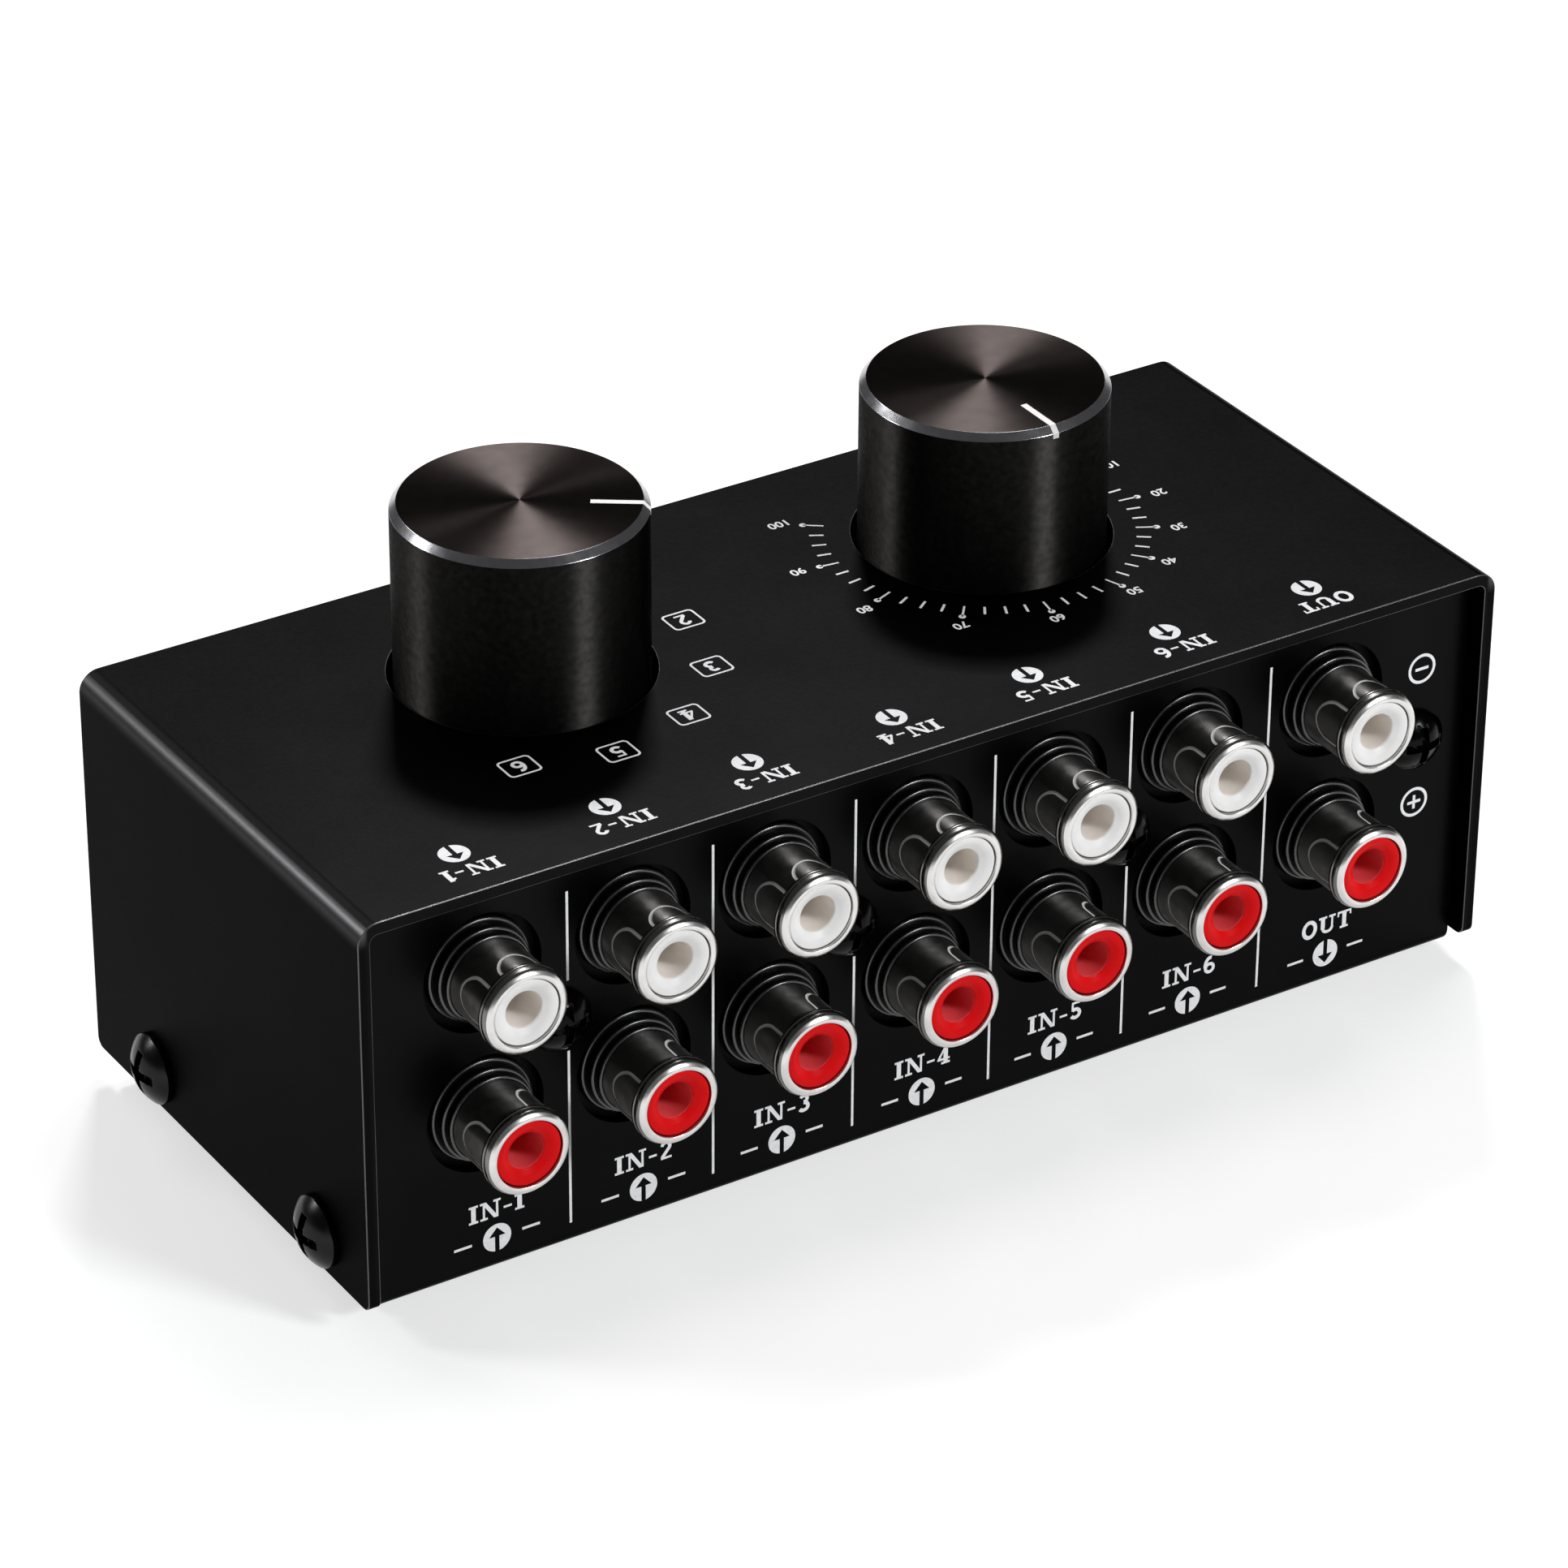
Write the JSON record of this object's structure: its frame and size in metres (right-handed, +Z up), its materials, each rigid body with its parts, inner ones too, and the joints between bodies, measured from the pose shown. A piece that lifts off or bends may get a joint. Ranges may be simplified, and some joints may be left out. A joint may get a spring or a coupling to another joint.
{
  "type": "audio source selector",
  "caption": "Desktop passive audio source selector: folded black metal box with paired phono jacks along the rear, a selector knob and a volume knob on top.",
  "frame": {"origin": "middle of the footprint (jacks and side screws included) on the resting plane under the feet", "axes": "+X along the row of jacks towards input 1, +Y out of the jack panel, +Z up"},
  "size_m": [0.1236, 0.0572, 0.0592],
  "materials": {
    "cover_paint": "fine-textured satin black",
    "panel_paint": "fine-textured satin black",
    "foot_rubber": "matte",
    "black_screw": "semi-gloss black",
    "board_laminate": "green solder mask",
    "brass_plate": "plated",
    "bright_steel": "zinc plated",
    "block_plastic": "moulded black",
    "collar_plastic": "moulded black",
    "sleeve_nickel": "nickel plated",
    "white_plastic": "moulded white",
    "red_plastic": "moulded red",
    "tinned_pin": "tinned",
    "phenolic": "laminated board",
    "die_cast": "die cast",
    "rotor_plastic": "moulded",
    "shaft_metal": "turned",
    "hub_plastic": "moulded black",
    "knob_anodised": "black anodised, spun top and cut bright edge",
    "pointer_enamel": "white enamel"
  },
  "bodies": {
    "case": {"top_cover": "cover_paint", "base_chassis": "panel_paint", "rubber_feet": "foot_rubber", "cover_screws": "black_screw", "main_board": "board_laminate", "board_standoffs": "brass_plate", "board_screws": "bright_steel", "input_block_1": "block_plastic", "input_block_2": "block_plastic", "input_block_3": "block_plastic", "output_block": "block_plastic", "block_screws": "black_screw", "jack_insulators": "collar_plastic", "jack_sleeves": "sleeve_nickel", "white_inserts": "white_plastic", "red_inserts": "red_plastic", "jack_contacts": "brass_plate", "jack_pins": "tinned_pin", "switch_base": "phenolic", "switch_pins": "tinned_pin", "switch_housing": "die_cast", "switch_stop_ring": "bright_steel", "switch_nut": "bright_steel", "pot_wafers": "phenolic", "pot_can": "die_cast", "pot_front": "die_cast", "pot_nut": "bright_steel", "pot_tails": "tinned_pin"},
    "selector": {"switch_rotor": "rotor_plastic", "detent_balls": "bright_steel", "switch_shaft": "shaft_metal", "switch_clip": "bright_steel", "selector_hub": "hub_plastic", "selector_knob": "knob_anodised", "selector_pointer": "pointer_enamel"},
    "volume": {"pot_rotors": "rotor_plastic", "pot_shaft": "shaft_metal", "pot_clip": "bright_steel", "volume_hub": "hub_plastic", "volume_knob": "knob_anodised", "volume_pointer": "pointer_enamel"}
  },
  "joints": [
    {"name": "selector_turn", "type": "hinge", "parent": "case", "child": "selector", "pos_m": [0.0256, -0.0086, 0], "axis": [0, 0, 1], "range_deg": [-90, 60]},
    {"name": "volume_turn", "type": "hinge", "parent": "case", "child": "volume", "pos_m": [-0.0238, -0.0086, 0], "axis": [0, 0, 1], "range_deg": [-126, 126]}
  ]
}
